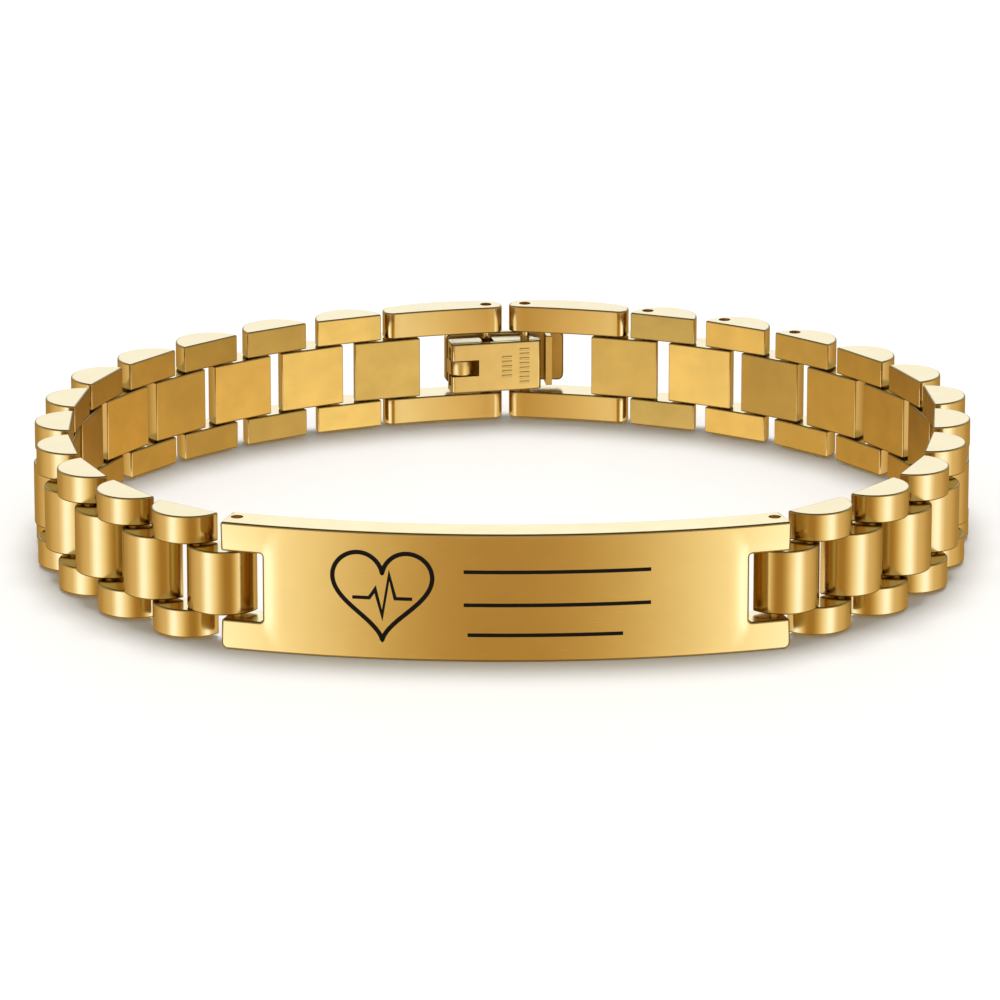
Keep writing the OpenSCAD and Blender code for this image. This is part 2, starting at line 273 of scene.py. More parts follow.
def soft_levels(low, high, rim, steps=3):
    """Levels of a prism whose lower and upper rim are quarter rounds."""
    turn = np.linspace(0, math.pi / 2, steps + 1)
    lower = [(rim * (1 - math.sin(a)), low + rim * (1 - math.cos(a))) for a in turn]
    return lower + [(inset, low + high - height) for inset, height in lower[::-1]]


def circle(x, y, radius, count=32):
    """Points round a circle, anticlockwise."""
    turn = np.arange(count) * 2 * math.pi / count
    return np.stack([x + radius * np.cos(turn), y + radius * np.sin(turn)], axis=1)


def worked(base, tool, operation):
    """The mesh of a solid with another added to it, or cut from it."""
    solids = [placed(mesh.name, mesh) for mesh in (base, tool)]
    step = solids[0].modifiers.new("work", "BOOLEAN")
    step.operation = operation
    step.solver = "EXACT"
    step.object = solids[1]
    result = bpy.data.meshes.new_from_object(solids[0].evaluated_get(bpy.context.evaluated_depsgraph_get()))
    for solid in solids:
        bpy.data.objects.remove(solid)
    return result


def joined(name, meshes):
    """Several meshes as one."""
    work = bmesh.new()
    for mesh in meshes:
        work.from_mesh(mesh)
    result = bpy.data.meshes.new(name)
    work.to_mesh(result)
    work.free()
    return result


def moved(mesh, along, outward, middle):
    """A copy of a mesh, with its X turned along the band, its Y away from the wrist, and its origin
    at the middle."""
    copy = mesh.copy()
    spots = np.empty(len(copy.vertices) * 3, np.float32)
    copy.vertices.foreach_get("co", spots)
    turned = spots.reshape(-1, 3) @ np.array([along, outward, (0, 0, 1)]) + np.array(middle)
    copy.vertices.foreach_set("co", turned.astype(np.float32).reshape(-1))
    copy.update()
    return copy


# Fineness of the grain along the band and across it, and of the cloudiness, per metre
GRAIN_ALONG = 500
GRAIN_ACROSS = 11000
CLOUDS = 420
GRAIN_HIGH = 0.02 * mm
# How far the grain makes the roughness swing, and the part of the cloudiness that shifts the colour
ROUGH_SWING = 0.2
CLOUD_PART = (0.3, 0.7)


def ranged(nodes, links, value, start, end, to_start=0, to_end=1, easing="LINEAR"):
    """The range from start to end of a value, carried over to another range."""
    node = nodes.new("ShaderNodeMapRange")
    node.interpolation_type = easing
    limits = {"From Min": start, "From Max": end, "To Min": to_start, "To Max": to_end}
    for socket, limit in limits.items():
        node.inputs[socket].default_value = limit
    links.new(value, node.inputs["Value"])
    return node.outputs["Result"]


def gold(name, tint, rough, grain, mottle):
    """Gold plating on steel. Fine level grain, long along the band and thin across it, shapes the
    roughness and a low bump, and a slow cloudiness shifts the colour a little."""
    material = bpy.data.materials.new(name)
    material.use_nodes = True
    nodes, links = material.node_tree.nodes, material.node_tree.links
    shader = nodes["Principled BSDF"]
    shader.inputs["Metallic"].default_value = 1
    place = nodes.new("ShaderNodeTexCoord")
    stretch = nodes.new("ShaderNodeMapping")
    stretch.inputs["Scale"].default_value = (GRAIN_ALONG, GRAIN_ALONG, GRAIN_ACROSS)
    lines = nodes.new("ShaderNodeTexNoise")
    lines.inputs["Scale"].default_value = 1
    lines.inputs["Detail"].default_value = 3
    cloud = nodes.new("ShaderNodeTexNoise")
    cloud.inputs["Scale"].default_value = CLOUDS
    cloud.inputs["Detail"].default_value = 2
    colour = nodes.new("ShaderNodeMix")
    colour.data_type = "RGBA"
    colour.blend_type = "MULTIPLY"
    colour.inputs["Factor"].default_value = 1
    colour.inputs["A"].default_value = (*tint, 1)
    bump = nodes.new("ShaderNodeBump")
    bump.inputs["Strength"].default_value = grain
    bump.inputs["Distance"].default_value = GRAIN_HIGH
    links.new(place.outputs["Object"], stretch.inputs["Vector"])
    links.new(stretch.outputs["Vector"], lines.inputs["Vector"])
    links.new(place.outputs["Object"], cloud.inputs["Vector"])
    roughness = ranged(
        nodes, links, lines.outputs["Fac"], 0, 1, rough * (1 - ROUGH_SWING), rough * (1 + ROUGH_SWING),
    )
    links.new(roughness, shader.inputs["Roughness"])
    links.new(ranged(nodes, links, cloud.outputs["Fac"], *CLOUD_PART, 1 - mottle, 1), colour.inputs["B"])
    links.new(colour.outputs["Result"], shader.inputs["Base Color"])
    links.new(lines.outputs["Fac"], bump.inputs["Height"])
    links.new(bump.outputs["Normal"], shader.inputs["Normal"])
    return material


# Places of the brushed material and of the rims' painted-shade material among a piece's materials
BRUSHED = 1
RIM = 2
# The rims get a darker tint of their own: painted shade for the dark lines that their rounding reflects
RIM_PAINTED_SHADE_TINT = (0.33, 0.21, 0.06)
rim_painted_shade = gold("rim_painted_shade", RIM_PAINTED_SHADE_TINT, rough=0.3, grain=0.05, mottle=0.05)
# How straight a face looks towards the wrist, or up or down, to count as an inner or as a level one
INNER_FACE = 0.94
LEVEL_FACE = 0.9999
SHARP_ANGLE = math.radians(42)


def finished(name, mesh, materials, body, node, outward):
    """Puts a mesh in the scene as a finished piece. Faces that look straight against the outward
    direction get the second material, and its rims get the third, a darker painted shade. Level faces
    are shaded flat, and the smooth shading keeps the other large faces flat."""
    for material in (*materials, rim_painted_shade):
        mesh.materials.append(material)
    count = len(mesh.polygons)
    normals, rims = np.empty(count * 3, np.float32), np.empty(count, np.int32)
    mesh.polygons.foreach_get("normal", normals)
    normals = normals.reshape(-1, 3)
    mesh.attributes["rim"].data.foreach_get("value", rims)
    mesh.attributes.remove(mesh.attributes["rim"])
    inner = normals @ np.array(outward) < -INNER_FACE
    mesh.polygons.foreach_set("material_index", np.where(rims > 0, RIM, inner * BRUSHED).astype(np.int32))
    mesh.shade_smooth()
    mesh.set_sharp_from_angle(angle=SHARP_ANGLE)
    mesh.polygons.foreach_set("use_smooth", np.abs(normals[:, 2]) < LEVEL_FACE)
    piece = placed(name, mesh)
    shading = piece.modifiers.new("shading", "WEIGHTED_NORMAL")
    shading.keep_sharp = True
    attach(piece, body)
    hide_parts(node)


plate_low, plate_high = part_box("name_plate")
plate_tall = plate_high.z - plate_low.z
plate_half = (plate_high.x - plate_low.x) / 2
plate_turn = math.asin(plate_half / PLATE_BEND)
plate_middle = (plate_low.x + plate_high.x) / 2
plate_hub = Vector((plate_middle, plate_low.y + PLATE_BEND, plate_low.z + plate_tall / 2))
plate_quarters = [
    (1, notched_quarter(plate_half, plate_tall / 2, UPPER_CORNER)),
    (-1, notched_quarter(plate_half, plate_tall / 2, LOWER_CORNER)),
]
plate_mesh = slab(
    "plate", plate_quarters, PLATE_BEND, plate_turn, NOTCH_DEEP, PLATE_THICK, PLATE_RIM, work=buffed,
)
pin_ring = PLATE_BEND - PLATE_THICK + PIN_DEEP
pin_turn = plate_turn - PLATE_END / pin_ring
pin_side, pin_back = pin_ring * math.sin(pin_turn), -pin_ring * math.cos(pin_turn)
pin_levels = [(0, -NOTCH_HIGH / 2 - OVERSHOOT), (0, NOTCH_HIGH / 2 + OVERSHOOT)]
hole_levels = [(0, plate_tall / 2 - HOLE_DEEP), (0, plate_tall)]
plate_pins = joined("pins", [
    prism("pin", circle(side * pin_side, pin_back, PIN_RADIUS), pin_levels) for side in (-1, 1)
])
plate_holes = joined("holes", [
    prism("hole", circle(side * pin_side, pin_back, HOLE_RADIUS), hole_levels) for side in (-1, 1)
])
plate_mesh = worked(worked(plate_mesh, plate_pins, "UNION"), plate_holes, "DIFFERENCE")
plate_mesh = moved(plate_mesh, (1, 0, 0), (0, 1, 0), plate_hub)
PLATE_TINT = (1.0, 0.74, 0.33)
plate_face = gold("plate_satin", PLATE_TINT, rough=0.25, grain=0.01, mottle=0.03)
plate_back = gold("plate_back", PLATE_TINT, rough=0.42, grain=0.3, mottle=0.04)
finished(
    "engraved_plate", plate_mesh, [plate_face, plate_back], "band", "name_plate",
    outward=(0, -1, 0),
)

# Engraving. The plate is cut by laser and filled with black. A heart with a pulse line stands on
# the left of the plate and three ruled lines on the right, each a thin inlay that lies in the face.
INLAY_PROUD = 0.012 * mm
INLAY_DEEP = 0.06 * mm
# Keeps the mitre of an inlay short where its path turns back sharply
SHARPEST = 0.12
HEART_AT = (-9.7 * mm, 0 * mm)
HEART_WIDE = 7.9 * mm
HEART_LINE = 0.36 * mm
# Width of the heart and the rise of its middle, in the units of its formula
HEART_UNITS = 32
HEART_RISE = 2.4
# Places of the pulse line's corners, in parts of the heart's width
PULSE = np.array([
    (-0.3, -0.02), (-0.13, -0.02), (-0.07, 0.07), (0, -0.2), (0.07, 0.22), (0.13, -0.02), (0.3, -0.02),
])
PULSE_LINE = 0.28 * mm
# Height above the plate's middle and the two ends of each ruled line
RULES = [
    (2.15 * mm, -3.3 * mm, 11.4 * mm),
    (-0.55 * mm, -3.3 * mm, 11.4 * mm),
    (-3.0 * mm, -3.0 * mm, 9.2 * mm),
]
RULE_LINE = 0.3 * mm
RULE_POINTS = 25
FILL_TINT = (0.006, 0.005, 0.004)
# Grains of the black fill per metre, and how high they stand
FILL_GRAIN = 9000
FILL_HIGH = 0.01 * mm


def inlay(name, path, width, loop=False):
    """A thin closed ribbon in the plate's face. Its section is a flat box that is carried along a
    path of places along and up the face, across the mitre of the path's neighbouring stretches."""
    if loop:
        ahead = np.roll(path, -1, axis=0) - path
        behind = path - np.roll(path, 1, axis=0)
    else:
        ahead = np.vstack([path[1:] - path[:-1], path[-1:] - path[-2:-1]])
        behind = np.vstack([path[1:2] - path[:1], path[1:] - path[:-1]])
    unit = [way / np.linalg.norm(way, axis=1, keepdims=True) for way in (ahead, behind)]
    left = [np.stack([-way[:, 1], way[:, 0]], axis=1) for way in unit]
    turning = 1 + np.sum(left[0] * left[1], axis=1, keepdims=True)
    mitre = (left[0] + left[1]) / np.maximum(turning, SHARPEST)
    sides = np.stack([path - mitre * width / 2, path + mitre * width / 2], axis=1)
    turn = sides[..., 0] / PLATE_BEND
    rings = []
    for side, away in ((0, INLAY_PROUD), (1, INLAY_PROUD), (1, -INLAY_DEEP), (0, -INLAY_DEEP)):
        reach = PLATE_BEND + away
        angle = turn[:, side]
        rings.append(np.stack([reach * np.sin(angle), -reach * np.cos(angle), sides[:, side, 1]], axis=1))
    points = np.stack(rings, axis=1)
    if loop:
        points = np.concatenate([points, points[:1]])
    faces = grid_faces(len(points), 4).tolist()
    if not loop:
        last = 4 * (len(points) - 1)
        faces += [[0, 1, 2, 3], [last + 3, last + 2, last + 1, last]]
    points = points.reshape(-1, 3) + np.array(plate_hub)
    return closed_mesh(name, points, np.array(faces), np.zeros(len(faces)))


def heart(count=96):
    """A heart: sixteen times the sine cubed across, and four cosines of the turn and its multiples up."""
    turn = np.arange(count) * 2 * math.pi / count
    across = 16 * np.sin(turn) ** 3
    up = 13 * np.cos(turn) - 5 * np.cos(2 * turn) - 2 * np.cos(3 * turn) - np.cos(4 * turn) + HEART_RISE
    return np.array(HEART_AT) + np.stack([across, up], axis=1) * HEART_WIDE / HEART_UNITS


black = bpy.data.materials.new("black_fill")
black.use_nodes = True
black_shader = black.node_tree.nodes["Principled BSDF"]
black_shader.inputs["Base Color"].default_value = (*FILL_TINT, 1)
black_shader.inputs["Roughness"].default_value = 0.5
black_shader.inputs["Specular IOR Level"].default_value = 0.12
black_grain = black.node_tree.nodes.new("ShaderNodeTexNoise")
black_grain.inputs["Scale"].default_value = FILL_GRAIN
black_place = black.node_tree.nodes.new("ShaderNodeTexCoord")
black_bump = black.node_tree.nodes.new("ShaderNodeBump")
black_bump.inputs["Distance"].default_value = FILL_HIGH
black.node_tree.links.new(black_place.outputs["Object"], black_grain.inputs["Vector"])
black.node_tree.links.new(black_grain.outputs["Fac"], black_bump.inputs["Height"])
black.node_tree.links.new(black_bump.outputs["Normal"], black_shader.inputs["Normal"])
inlays = {
    "engraved_heart": inlay("heart", heart(), HEART_LINE, loop=True),
    "engraved_pulse": inlay("pulse", np.array(HEART_AT) + PULSE * HEART_WIDE, PULSE_LINE),
}
for number, (height, start, end) in enumerate(RULES, 1):
    stops = np.linspace(start, end, RULE_POINTS)
    rule = np.stack([stops, np.full(RULE_POINTS, height)], axis=1)
    inlays[f"engraved_rule_{number}"] = inlay("rule", rule, RULE_LINE)
for name, mesh in inlays.items():
    mesh.materials.append(black)
    piece = placed(name, mesh)
    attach(piece, "band")

# Outer links. Each is two half-round steel bars, one above the other, pressed on two pins.
# The round side is polished and the flat side towards the wrist is brushed along the band.
# Three of them on the right have a blind hole above the pin that can be pushed out.
LINK_LONG = 5.9 * mm
LINK_HIGH = 10 * mm
BAR_HIGH = 2.3 * mm
PIN_GAP = 3.6 * mm
PIN_SIDES = 20
FLAT_CORNER = 0.1 * mm
SOFT_RIM = 0.12 * mm
HOLED = ("right_outer_09", "right_outer_10", "right_outer_11")
# How exactly a face of a solid stands upright, and the decimals that tell headings apart
UPRIGHT = 0.01
HEADING_DECIMALS = 2


def half_round(steps=28):
    """Section of a short link: a flat inner face on Y = 0, small corners, and a half circle outside."""
    reach = LINK_LONG / 2
    inner = reach - FLAT_CORNER
    return np.vstack([
        rounded((inner, FLAT_CORNER), FLAT_CORNER, 270, 360, count=5)[:-1, :2],
        rounded((0, FLAT_CORNER), reach, 0, 180, steps + 1)[:, :2],
        rounded((-inner, FLAT_CORNER), FLAT_CORNER, 180, 270, count=5)[1:, :2],
    ])


def barred(name, outline, pins, hole):
    """Two bars of one outline on two pins, with a blind hole from above where one is given."""
    lower = prism("lower_bar", outline, soft_levels(0, BAR_HIGH, SOFT_RIM))
    upper = prism("upper_bar", outline, soft_levels(LINK_HIGH - BAR_HIGH, LINK_HIGH, SOFT_RIM))
    post_levels = [(0, BAR_HIGH / 2), (0, LINK_HIGH - BAR_HIGH / 2)]
    posts = [prism("post", circle(x, PIN_DEEP, PIN_RADIUS, PIN_SIDES), post_levels) for x in pins]
    mesh = worked(joined(name, [lower, upper]), joined("posts", posts), "UNION")
    if hole is None:
        return mesh
    drill_levels = [(0, LINK_HIGH - HOLE_DEEP), (0, LINK_HIGH + OVERSHOOT)]
    return worked(mesh, prism("drill", circle(hole, PIN_DEEP, HOLE_RADIUS), drill_levels), "DIFFERENCE")


def seat(node):
    """Where a link sits: the direction along it, the direction away from the wrist and the middle
    of its flat inner face. That face is the largest upright one of its solid."""
    mesh = frame["nodes"][node].data
    count = len(mesh.polygons)
    normals, centres, areas = np.empty(count * 3), np.empty(count * 3), np.empty(count)
    mesh.polygons.foreach_get("normal", normals)
    mesh.polygons.foreach_get("center", centres)
    mesh.polygons.foreach_get("area", areas)
    normals, centres = normals.reshape(-1, 3), centres.reshape(-1, 3)
    heading = np.round(normals[:, :2], HEADING_DECIMALS) + 0.0
    areas = areas * (np.abs(normals[:, 2]) < UPRIGHT)
    kind = np.unique(heading, axis=0, return_inverse=True)[1].reshape(-1)
    flat = kind == np.bincount(kind, weights=areas).argmax()
    share = areas * flat / areas[flat].sum()
    outward = -(normals * share[:, None]).sum(axis=0)
    outward = outward / np.linalg.norm(outward)
    middle = (centres * share[:, None]).sum(axis=0)
    middle[2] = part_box(node)[0].z
    return (outward[1], -outward[0], 0), tuple(outward), tuple(middle)


LINK_TINT = (0.87, 0.62, 0.27)
BRUSHED_TINT = np.array((0.80, 0.485, 0.115))
# Painted light and shade on the inner faces: some links' brushed faces are painted lighter or darker than
# the rest
BRUSHED_PAINTED_SHADES = {"deep": 0.82, "middle": 1, "pale": 1.24}
PAINTED_LIGHTER_LINKS = (
    "left_outer_11", "right_outer_10", "left_centre_08", "left_centre_10", "left_centre_11",
    "right_centre_11",
)
PAINTED_DARKER_LINKS = ("left_outer_09", "left_outer_10", "right_outer_11", "right_centre_10")
polish = gold("link_polish", LINK_TINT, rough=0.16, grain=0.06, mottle=0.03)
# Lit and shaded copies of the one brushed gold: painted light and shade
painted_shade_brushes = {
    depth: gold(f"brush_{depth}", tuple(share * BRUSHED_TINT), rough=0.4, grain=0.45, mottle=0.12)
    for depth, share in BRUSHED_PAINTED_SHADES.items()
}


def brush_painted_shade_of(node):
    """The brushed finish of a link's inner face, in the copy painted lighter or darker for that link."""
    return painted_shade_brushes["pale" if node in PAINTED_LIGHTER_LINKS else "deep" if node in PAINTED_DARKER_LINKS else "middle"]


pins_at = (-PIN_GAP / 2, PIN_GAP / 2)
plain_bars = barred("bars", half_round(), pins_at, None)
holed_bars = barred("holed_bars", half_round(), pins_at, -PIN_GAP / 2)
for node in frame["nodes"]:
    if "_outer_" in node:
        side, number = node.split("_outer_")
        along, outward, middle = seat(node)
        mesh = moved(holed_bars if node in HOLED else plain_bars, along, outward, middle)
        finished(
            f"{side}_bar_link_{number}", mesh, [polish, brush_painted_shade_of(node)], "band", node, outward,
        )

# Centre links. One half-round bar each, drilled through for the pins of its two neighbours, on
# which the real band bends; here they move with the rest of the band as one. They stand between the bars of
# the outer links.
CENTRE_HIGH = 5.2 * mm
BORE_RADIUS = 0.45 * mm


def drilled(name, outline, bores):
    """One bar of an outline with round bores right through it."""
    bar = prism(name, outline, soft_levels(0, CENTRE_HIGH, SOFT_RIM))
    drill_levels = [(0, -OVERSHOOT), (0, CENTRE_HIGH + OVERSHOOT)]
    drills = [prism("drill", circle(x, PIN_DEEP, BORE_RADIUS, PIN_SIDES), drill_levels) for x in bores]
    return worked(bar, joined("drills", drills), "DIFFERENCE")


centre_polish = gold("centre_polish", LINK_TINT, rough=0.17, grain=0.06, mottle=0.03)
centre_bar = drilled("centre_bar", half_round(), pins_at)
for node in frame["nodes"]:
    if "_centre_" in node:
        side, number = node.split("_centre_")
        along, outward, middle = seat(node)
        mesh = moved(centre_bar, along, outward, middle)
        finished(
            f"{side}_middle_link_{number}", mesh, [centre_polish, brush_painted_shade_of(node)], "band",
            node, outward,
        )

# Long links. The last link on each side is twice as long and only gently curved outside, with
# rounded ends. Its clasp pin lies close to its end, under a blind hole.
LONG_PINS = 7.35 * mm
LONG_CLASP_END = 1.3 * mm
LONG_FAR_END = 1.85 * mm
LONG_BEND = 14 * mm
LONG_ROUND = 1.3 * mm
LONG_CORNER = 0.8 * mm
LONG_HOLLOW = 60 * mm
LONG_RISE = LINK_LONG / 2 + FLAT_CORNER
LONG_TINT = (0.78, 0.50, 0.17)


def long_round():
    """Section of a long link: an inner face that hollows a little, as a wide arc bent to the wrist,
    soft corners that reach down to Y = 0, rounded ends and a wide arc outside."""
    half = (LONG_CLASP_END + LONG_PINS + LONG_FAR_END) / 2
    hub = LONG_RISE - LONG_BEND
    reach = half - LONG_ROUND
    swing = math.degrees(math.asin(reach / (LONG_BEND - LONG_ROUND)))
    end = hub + math.sqrt((LONG_BEND - LONG_ROUND) ** 2 - reach ** 2)
    inner = half - LONG_CORNER
    away = LONG_HOLLOW + LONG_CORNER
    lean = math.degrees(math.asin(inner / away))
    wrist = LONG_CORNER - away * math.cos(math.radians(lean))
    return np.vstack([
        rounded((0, wrist), LONG_HOLLOW, 90 + lean, 90 - lean, count=15)[:-1, :2],
        rounded((inner, LONG_CORNER), LONG_CORNER, 270 - lean, 360, count=9)[:, :2],
        rounded((reach, end), LONG_ROUND, 0, 90 - swing, count=9)[:, :2],
        rounded((0, hub), LONG_BEND, 90 - swing, 90 + swing, count=17)[1:-1, :2],
        rounded((-reach, end), LONG_ROUND, 90 + swing, 180, count=9)[:, :2],
        rounded((-inner, LONG_CORNER), LONG_CORNER, 180, 270 + lean, count=9)[:-1, :2],
    ])


long_satin = gold("long_satin", LONG_TINT, rough=0.18, grain=0.08, mottle=0.05)
for side, clasp_way in (("left", 1), ("right", -1)):
    node = f"{side}_long"
    shift = clasp_way * (LONG_FAR_END - LONG_CLASP_END) / 2
    clasp_pin = clasp_way * LONG_PINS / 2 + shift
    far_pin = -clasp_way * LONG_PINS / 2 + shift
    along, outward, middle = seat(node)
    long_bars = barred("long_bars", long_round(), (far_pin, clasp_pin), clasp_pin)
    mesh = moved(long_bars, along, outward, middle)
    finished(f"{side}_clasp_link", mesh, [polish, long_satin], "band", node, outward)

# Clasp cover. A curved steel plate lies over the gap between the long links and hides the clasp
# from outside. Inside it has a knuckle on the hinge pin and a stiffening rib beside it.
COVER_LONG = 10.5 * mm
COVER_HIGH = 4.4 * mm
COVER_IN = 1 * mm
COVER_THICK = 0.8 * mm
COVER_BEND = 36 * mm
COVER_CORNER = 0.5 * mm
COVER_RIM = 0.12 * mm
KNUCKLE_RADIUS = 0.7 * mm
KNUCKLE_RIM = 0.05 * mm
KNUCKLE_GAP = 0.15 * mm
RIB_AT = 1.75 * mm
RIB_THICK = 0.55 * mm
RIB_IN = 0.85 * mm
RIB_RIM = 0.06 * mm
SHEET = 0.5 * mm
CLASP_TINT = (0.84, 0.60, 0.25)
CLASP_SATIN_TINT = (0.93, 0.60, 0.19)


def plain_quarter(half_long, high, corner):
    """Low and high path of one quarter of a plain slab: its middle line, and its edge, corner and end."""
    # Number of points on each stretch of the paths
    body, turn, end = 25, 7, 3
    low_path = np.vstack([
        straight((-half_long, 0), (-corner - COVER_RIM, 0), (0, 0), body),
        straight((-corner, 0), (-COVER_RIM, 0), (0, 0), turn + end - 2),
        straight((0, 0), (0, 0), (1, 0), 1),
    ])
    high_path = np.vstack([
        straight((-half_long, high), (-corner - COVER_RIM, high), (0, 1), body),
        rounded((-corner, high - corner), corner, 90, 0, turn),
        straight((0, (high - corner) / 2), (0, 0), (1, 0), end - 1),
    ])
    return low_path, high_path


def box_outline(left, right, low, high):
    """The four corners of a rectangle, anticlockwise."""
    return np.array([(left, low), (right, low), (right, high), (left, high)])


hinge = Vector(frame["joints"][0]["pos_m"])
left_pin_seat, right_pin_seat = seat("left_long"), seat("right_long")


def clasp_pin_of(side_seat, clasp_way):
    """The axis of a long link's clasp pin, seen from above."""
    along, outward, middle = [np.array(value) for value in side_seat]
    pin_x = clasp_way * (LONG_PINS + LONG_FAR_END - LONG_CLASP_END) / 2
    return middle + along * pin_x + outward * PIN_DEEP


across_pins = clasp_pin_of(right_pin_seat, -1) - clasp_pin_of(left_pin_seat, 1)
across_pins[2] = 0
pins_apart = float(np.linalg.norm(across_pins))
clasp_along = tuple(across_pins / pins_apart)
clasp_out = (-clasp_along[1], clasp_along[0], 0)
cover_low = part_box("clasp_cover")[0].z
leaf_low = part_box("clasp_leaf")[0].z
cover_turn = math.asin(COVER_LONG / 2 / COVER_BEND)
cover_paths = plain_quarter(COVER_LONG / 2, COVER_HIGH / 2, COVER_CORNER)
cover_shell = slab(
    "cover", [(1, cover_paths), (-1, cover_paths)], COVER_BEND, cover_turn, 0, COVER_THICK, COVER_RIM,
)
cover_shell = moved(
    cover_shell, (-1, 0, 0), (0, -1, 0),
    (-pins_apart / 2, COVER_IN + COVER_THICK - COVER_BEND, COVER_HIGH / 2),
)
knuckle_low = leaf_low - cover_low + SHEET + KNUCKLE_GAP
knuckle_high = knuckle_low + COVER_HIGH - 2 * (SHEET + KNUCKLE_GAP)
cover_mid = COVER_IN + COVER_THICK / 2
knuckle_outline = np.vstack([
    rounded((0, 0), KNUCKLE_RADIUS, 180, 360, count=17)[:, :2],
    [(KNUCKLE_RADIUS, cover_mid), (-KNUCKLE_RADIUS, cover_mid)],
])
rib_outline = box_outline(RIB_AT, RIB_AT + RIB_THICK, -RIB_IN, cover_mid)
cover_fittings = joined("fittings", [
    prism("knuckle", knuckle_outline, soft_levels(knuckle_low, knuckle_high, KNUCKLE_RIM)),
    prism("rib", rib_outline, soft_levels(0, COVER_HIGH, RIB_RIM)),
])
cover_bore = prism("bore", circle(0, 0, BORE_RADIUS), [(0, -OVERSHOOT), (0, COVER_HIGH + OVERSHOOT)])
cover_mesh = worked(worked(cover_shell, cover_fittings, "UNION"), cover_bore, "DIFFERENCE")
clasp_polish = gold("clasp_polish", CLASP_TINT, rough=0.2, grain=0.1, mottle=0.05)
clasp_satin = gold("clasp_satin", CLASP_SATIN_TINT, rough=0.34, grain=0.25, mottle=0.1)
finished(
    "folding_cover", moved(cover_mesh, clasp_along, clasp_out, (hinge.x, hinge.y, cover_low)),
    [clasp_polish, clasp_satin], "band", "clasp_cover", outward=clasp_out,
)

# Clasp leaf. A pressed and folded sheet that turns on the right clasp pin. Its two flanges hook
# over the left pin, a curled tongue shows through its window as the spring, and two columns of
# short ribs give the thumb a grip.
LEAF_HIGH = 4.4 * mm
LEAF_LEFT = 6.75 * mm
LEAF_RIGHT = 1.2 * mm
LEAF_FACE = 1.3 * mm
LEAF_TILT = math.radians(6.5)
LEAF_ROUND = 0.3 * mm
LEAF_RIM = 0.13 * mm
FLANGE_OUT = 0.8 * mm
FLANGE_CORNER = 0.4 * mm
FLANGE_SLANT = 0.5 * mm
FLANGE_RIM = 0.05 * mm
WINDOW_HIGH = 1.44 * mm
WINDOW_LONG = 2.4 * mm
STRAP_SHORT = 0.02 * mm
STRAP_RIM = 0.03 * mm
TONGUE_HIGH = 1.28 * mm
TONGUE_THICK = 0.35 * mm
TONGUE_CURL = 1.1 * mm
TONGUE_END = 345
TONGUE_AT = (1 * mm - LEAF_LEFT, -0.15 * mm)
TONGUE_RIM = 0.05 * mm
SLOT_WIDE = 1 * mm
SLOT_MOUTH = 1.55 * mm
GRIP_LONG = 0.85 * mm
GRIP_THICK = 0.2 * mm
GRIP_PROUD = 0.08 * mm
GRIP_ROOT = 0.2 * mm
GRIP_STEP = 0.42 * mm
GRIP_RIM = 0.04 * mm
# Place along the leaf and number of ribs, for each column
GRIP_COLUMNS = [(-1.85 * mm, 5), (-0.3 * mm, 8)]
sheet_out = SHEET - LEAF_FACE


def grip_ribs():
    """Short level ribs on the leaf's inner face, stacked evenly about its middle height in each column."""
    ribs = []
    for x, count in GRIP_COLUMNS:
        outline = box_outline(
            x - GRIP_LONG / 2, x + GRIP_LONG / 2, -LEAF_FACE - GRIP_PROUD, -LEAF_FACE + GRIP_ROOT,
        )
        for number in range(count):
            level = LEAF_HIGH / 2 + (number - (count - 1) / 2) * GRIP_STEP
            levels = soft_levels(level - GRIP_THICK / 2, level + GRIP_THICK / 2, GRIP_RIM)
            ribs.append(prism("rib", outline, levels))
    return joined("ribs", ribs)


leaf_sheet = prism(
    "sheet",
    np.vstack([
        [(-LEAF_LEFT, sheet_out)],
        rounded((LEAF_ROUND - LEAF_LEFT, LEAF_ROUND - LEAF_FACE), LEAF_ROUND, 180, 270, count=7)[:, :2],
        rounded((LEAF_RIGHT - LEAF_ROUND, LEAF_ROUND - LEAF_FACE), LEAF_ROUND, 270, 360, count=7)[:, :2],
        [(LEAF_RIGHT, sheet_out)],
    ]),
    soft_levels(0, LEAF_HIGH, LEAF_RIM),
)
window = box_outline(
    -LEAF_LEFT - OVERSHOOT, WINDOW_LONG - LEAF_LEFT, -LEAF_FACE - OVERSHOOT, sheet_out + OVERSHOOT,
)
window_levels = [(0, (LEAF_HIGH - WINDOW_HIGH) / 2), (0, (LEAF_HIGH + WINDOW_HIGH) / 2)]
leaf_sheet = worked(leaf_sheet, prism("window", window, window_levels), "DIFFERENCE")
flange_outline = np.vstack([
    [(-LEAF_LEFT, sheet_out), (LEAF_RIGHT, sheet_out), (LEAF_RIGHT, -FLANGE_SLANT)],
    rounded((0, 0), FLANGE_OUT, -10, 90, count=13)[:, :2],
    rounded((FLANGE_CORNER - LEAF_LEFT, FLANGE_OUT - FLANGE_CORNER), FLANGE_CORNER, 90, 180, count=7)[:, :2],
])
leaf_flanges = joined("flanges", [
    prism("flange", flange_outline, soft_levels(0, SHEET, FLANGE_RIM)),
    prism("flange", flange_outline, soft_levels(LEAF_HIGH - SHEET, LEAF_HIGH, FLANGE_RIM)),
])
hook_x, hook_y = -pins_apart * math.cos(LEAF_TILT), pins_apart * math.sin(LEAF_TILT)
hook_slot = np.array([
    (hook_x - SLOT_WIDE / 2, sheet_out),
    (hook_x + SLOT_WIDE / 2, sheet_out),
    (hook_x + SLOT_WIDE / 2, hook_y),
    (hook_x + SLOT_MOUTH / 2, FLANGE_OUT + OVERSHOOT),
    (hook_x - SLOT_MOUTH / 2, FLANGE_OUT + OVERSHOOT),
    (hook_x - SLOT_WIDE / 2, hook_y),
])
